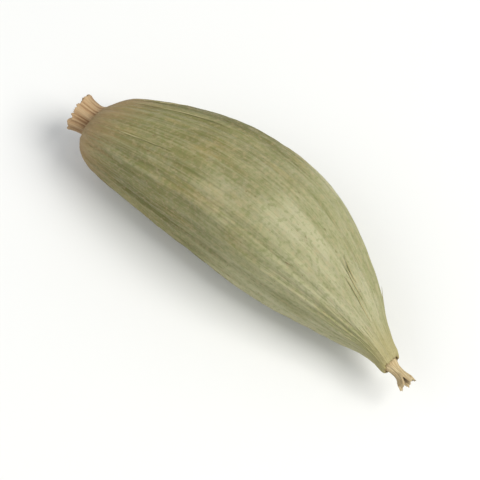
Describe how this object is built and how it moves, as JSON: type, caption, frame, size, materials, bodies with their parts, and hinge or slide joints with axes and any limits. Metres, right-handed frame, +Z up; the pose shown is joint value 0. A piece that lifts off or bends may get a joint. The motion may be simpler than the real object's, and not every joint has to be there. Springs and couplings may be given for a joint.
{
  "type": "green cardamom pod",
  "caption": "Dried green cardamom pod lying on one face: ribbed three-sided spindle capsule with a beaked tip, a short hollow stalk stub and withered flower remains.",
  "frame": {"origin": "middle of the box round the pod, at the level of the surface it lies on", "axes": "+X along the pod from its stalk to its tip, +Z up, away from the face it lies on"},
  "size_m": [0.0176, 0.0056, 0.0051],
  "materials": {
    "husk": "dry papery green husk, matt with a faint waxy sheen",
    "stalk": "dry fibrous tan stalk, matt",
    "flower": "thin papery buff remains, matt"
  },
  "bodies": {
    "root": {"capsule": "husk", "stalk_stub": "stalk", "flower_remnant": "flower"}
  },
  "joints": []
}
